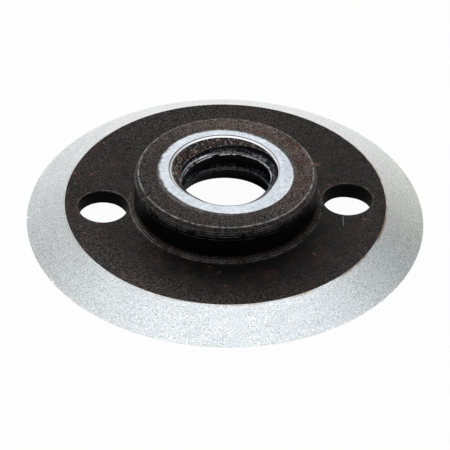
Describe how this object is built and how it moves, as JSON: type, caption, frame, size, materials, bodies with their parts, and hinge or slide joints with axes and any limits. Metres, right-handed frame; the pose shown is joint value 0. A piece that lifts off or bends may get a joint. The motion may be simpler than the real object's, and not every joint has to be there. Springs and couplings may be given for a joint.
{
  "type": "circular knife",
  "caption": "Round steel knife with a single ground bevel, a raised threaded hub, a hollow back and holes beside the hub for a face spanner.",
  "frame": {"origin": "centre of the flat ring at the rim of the back, on the knife's axis", "axes": "+Z along the axis from the flat back to the hub, +X through the spanner holes"},
  "size_m": [0.065, 0.065, 0.0102],
  "materials": {
    "steel": "bright ground bevel and hub seat, black-brown hardening scale elsewhere"
  },
  "bodies": {
    "root": {"circular_knife": "steel"}
  },
  "joints": []
}
